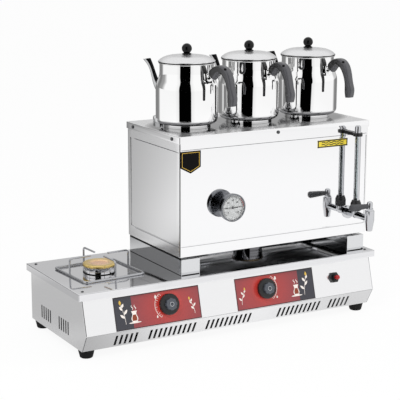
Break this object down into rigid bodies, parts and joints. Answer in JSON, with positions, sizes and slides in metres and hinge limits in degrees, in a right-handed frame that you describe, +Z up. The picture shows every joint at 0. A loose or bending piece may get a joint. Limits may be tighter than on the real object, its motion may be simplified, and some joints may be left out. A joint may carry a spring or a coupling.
{
  "type": "gas tea boiler",
  "caption": "Countertop gas tea boiler with a side hob, steel teapots on a hot water tank, a plug tap with level gauge and a dial thermometer.",
  "frame": {"origin": "under the middle of the whole object, on the surface it stands on", "axes": "+X to the user's right along the cabinet's length, -Y towards the user, +Z up"},
  "size_m": [0.81, 0.4104, 0.6813],
  "materials": {
    "cabinet_steel": "satin stainless steel sheet",
    "hob_steel": "polished stainless steel sheet",
    "floor_steel": "plain stainless steel sheet",
    "foot_rubber": "matt black",
    "burner_chrome": "chromed",
    "burner_brass": "machined, heat tinted",
    "wire_steel": "bright wire",
    "fitting_brass": "machined",
    "pipe_aluminium": "drawn tube",
    "spindle_steel": "machined",
    "knob_plastic": "moulded black",
    "igniter_plastic": "moulded black",
    "button_plastic": "moulded red",
    "electrode_ceramic": "glazed white",
    "probe_steel": "heat tinted",
    "stand_steel": "satin stainless steel sheet",
    "casing_steel": "polished stainless steel sheet",
    "tank_steel": "plain stainless steel sheet",
    "cover_steel": "polished stainless steel sheet",
    "screw_steel": "bright",
    "filler_steel": "polished stainless steel",
    "bezel_chrome": "dark chrome",
    "dial_enamel": "white enamel",
    "dial_glass": "clear",
    "needle_black": "matt black",
    "stem_steel": "machined",
    "tap_chrome": "bright chrome",
    "lever_plastic": "moulded dark grey",
    "nut_black": "black",
    "level_glass": "clear tube",
    "guard_chrome": "bright chrome",
    "bracket_black": "black",
    "pot_steel": "mirror polished stainless steel",
    "handle_bakelite": "moulded black bakelite",
    "lid_steel": "satin stainless steel",
    "lid_knob_plastic": "moulded black"
  },
  "bodies": {
    "boiler_unit": {"boiler_burner_cap": "burner_brass", "boiler_casing": "casing_steel", "boiler_cover": "cover_steel", "boiler_stand": "stand_steel", "boiler_tank": "tank_steel", "burner_bodies": "burner_chrome", "cabinet_body": "cabinet_steel", "cabinet_floor": "floor_steel", "cover_screws": "screw_steel", "feet": "foot_rubber", "filler_neck": "filler_steel", "gas_pipes": "pipe_aluminium", "gas_valves": "fitting_brass", "gauge_bracket": "bracket_black", "gauge_cap": "guard_chrome", "gauge_glass": "level_glass", "gauge_guard": "guard_chrome", "gauge_nut": "nut_black", "hob_top": "hob_steel", "hose_nozzle": "fitting_brass", "igniter_body": "igniter_plastic", "injectors": "fitting_brass", "spark_electrodes": "electrode_ceramic", "stand_bars": "stand_steel", "tap_body": "tap_chrome", "tap_bonnet": "tap_chrome", "tap_rosette": "tap_chrome", "thermocouples": "probe_steel", "thermometer_case": "bezel_chrome", "thermometer_dial": "dial_enamel", "thermometer_glass": "dial_glass", "thermometer_stem": "stem_steel"},
    "pan_support": {"pan_support": "wire_steel"},
    "hob_burner_cap": {"hob_burner_cap": "burner_brass"},
    "spindle_left": {"spindle_left": "spindle_steel"},
    "knob_left": {"knob_left": "knob_plastic"},
    "spindle_right": {"spindle_right": "spindle_steel"},
    "knob_right": {"knob_right": "knob_plastic"},
    "igniter_button": {"igniter_button": "button_plastic"},
    "tap_plug": {"tap_plug": "tap_chrome", "tap_lever": "lever_plastic"},
    "thermometer_needle": {"thermometer_needle": "needle_black"},
    "filler_cap": {"filler_cap": "filler_steel"},
    "teapot_1": {"teapot_1_body": "pot_steel", "teapot_1_spout": "pot_steel", "teapot_1_handle": "handle_bakelite"},
    "lid_1": {"teapot_1_lid": "lid_steel", "teapot_1_lid_knob": "lid_knob_plastic"},
    "teapot_2": {"teapot_2_body": "pot_steel", "teapot_2_spout": "pot_steel", "teapot_2_handle": "handle_bakelite"},
    "lid_2": {"teapot_2_lid": "lid_steel", "teapot_2_lid_knob": "lid_knob_plastic"},
    "teapot_3": {"teapot_3_body": "pot_steel", "teapot_3_spout": "pot_steel", "teapot_3_handle": "handle_bakelite"},
    "lid_3": {"teapot_3_lid": "lid_steel", "teapot_3_lid_knob": "lid_knob_plastic"}
  },
  "joints": [
    {"name": "pan_support_lift", "type": "slide", "parent": "boiler_unit", "child": "pan_support", "axis": [0, 0, 1], "range_m": [0, 0.06]},
    {"name": "hob_burner_cap_lift", "type": "slide", "parent": "boiler_unit", "child": "hob_burner_cap", "axis": [0, 0, 1], "range_m": [0, 0.014]},
    {"name": "gas_valve_left_turn", "type": "hinge", "parent": "boiler_unit", "child": "spindle_left", "pos_m": [-0.183, -0.13064, 0.104], "axis": [0, -0.9646, 0.2636], "range_deg": [0, 180]},
    {"name": "knob_left_push", "type": "slide", "parent": "spindle_left", "child": "knob_left", "axis": [0, 0.9646, -0.2636], "range_m": [0, 0.004], "stiffness_N_per_m": 800},
    {"name": "gas_valve_right_turn", "type": "hinge", "parent": "boiler_unit", "child": "spindle_right", "pos_m": [0.081, -0.13064, 0.104], "axis": [0, -0.9646, 0.2636], "range_deg": [0, 180]},
    {"name": "knob_right_push", "type": "slide", "parent": "spindle_right", "child": "knob_right", "axis": [0, 0.9646, -0.2636], "range_m": [0, 0.004], "stiffness_N_per_m": 800},
    {"name": "igniter_press", "type": "slide", "parent": "boiler_unit", "child": "igniter_button", "axis": [0, 0.9646, -0.2636], "range_m": [0, 0.004], "stiffness_N_per_m": 800},
    {"name": "tap_turn", "type": "hinge", "parent": "boiler_unit", "child": "tap_plug", "pos_m": [0.337, -0.19375, 0.259], "axis": [0, 0, 1], "range_deg": [0, 90]},
    {"name": "thermometer_needle_turn", "type": "hinge", "parent": "boiler_unit", "child": "thermometer_needle", "pos_m": [-0.014, -0.13775, 0.3135], "axis": [0, 1, 0], "range_deg": [-45, 225]},
    {"name": "filler_cap_lift", "type": "slide", "parent": "boiler_unit", "child": "filler_cap", "axis": [0, 0, 1], "range_m": [0, 0.03]},
    {"name": "teapot_1_lift", "type": "slide", "parent": "boiler_unit", "child": "teapot_1", "axis": [0, 0, 1], "range_m": [0, 0.12]},
    {"name": "lid_1_lift", "type": "slide", "parent": "teapot_1", "child": "lid_1", "axis": [0, 0, 1], "range_m": [0, 0.05]},
    {"name": "teapot_2_lift", "type": "slide", "parent": "boiler_unit", "child": "teapot_2", "axis": [0, 0, 1], "range_m": [0, 0.12]},
    {"name": "lid_2_lift", "type": "slide", "parent": "teapot_2", "child": "lid_2", "axis": [0, 0, 1], "range_m": [0, 0.05]},
    {"name": "teapot_3_lift", "type": "slide", "parent": "boiler_unit", "child": "teapot_3", "axis": [0, 0, 1], "range_m": [0, 0.12]},
    {"name": "lid_3_lift", "type": "slide", "parent": "teapot_3", "child": "lid_3", "axis": [0, 0, 1], "range_m": [0, 0.05]}
  ]
}
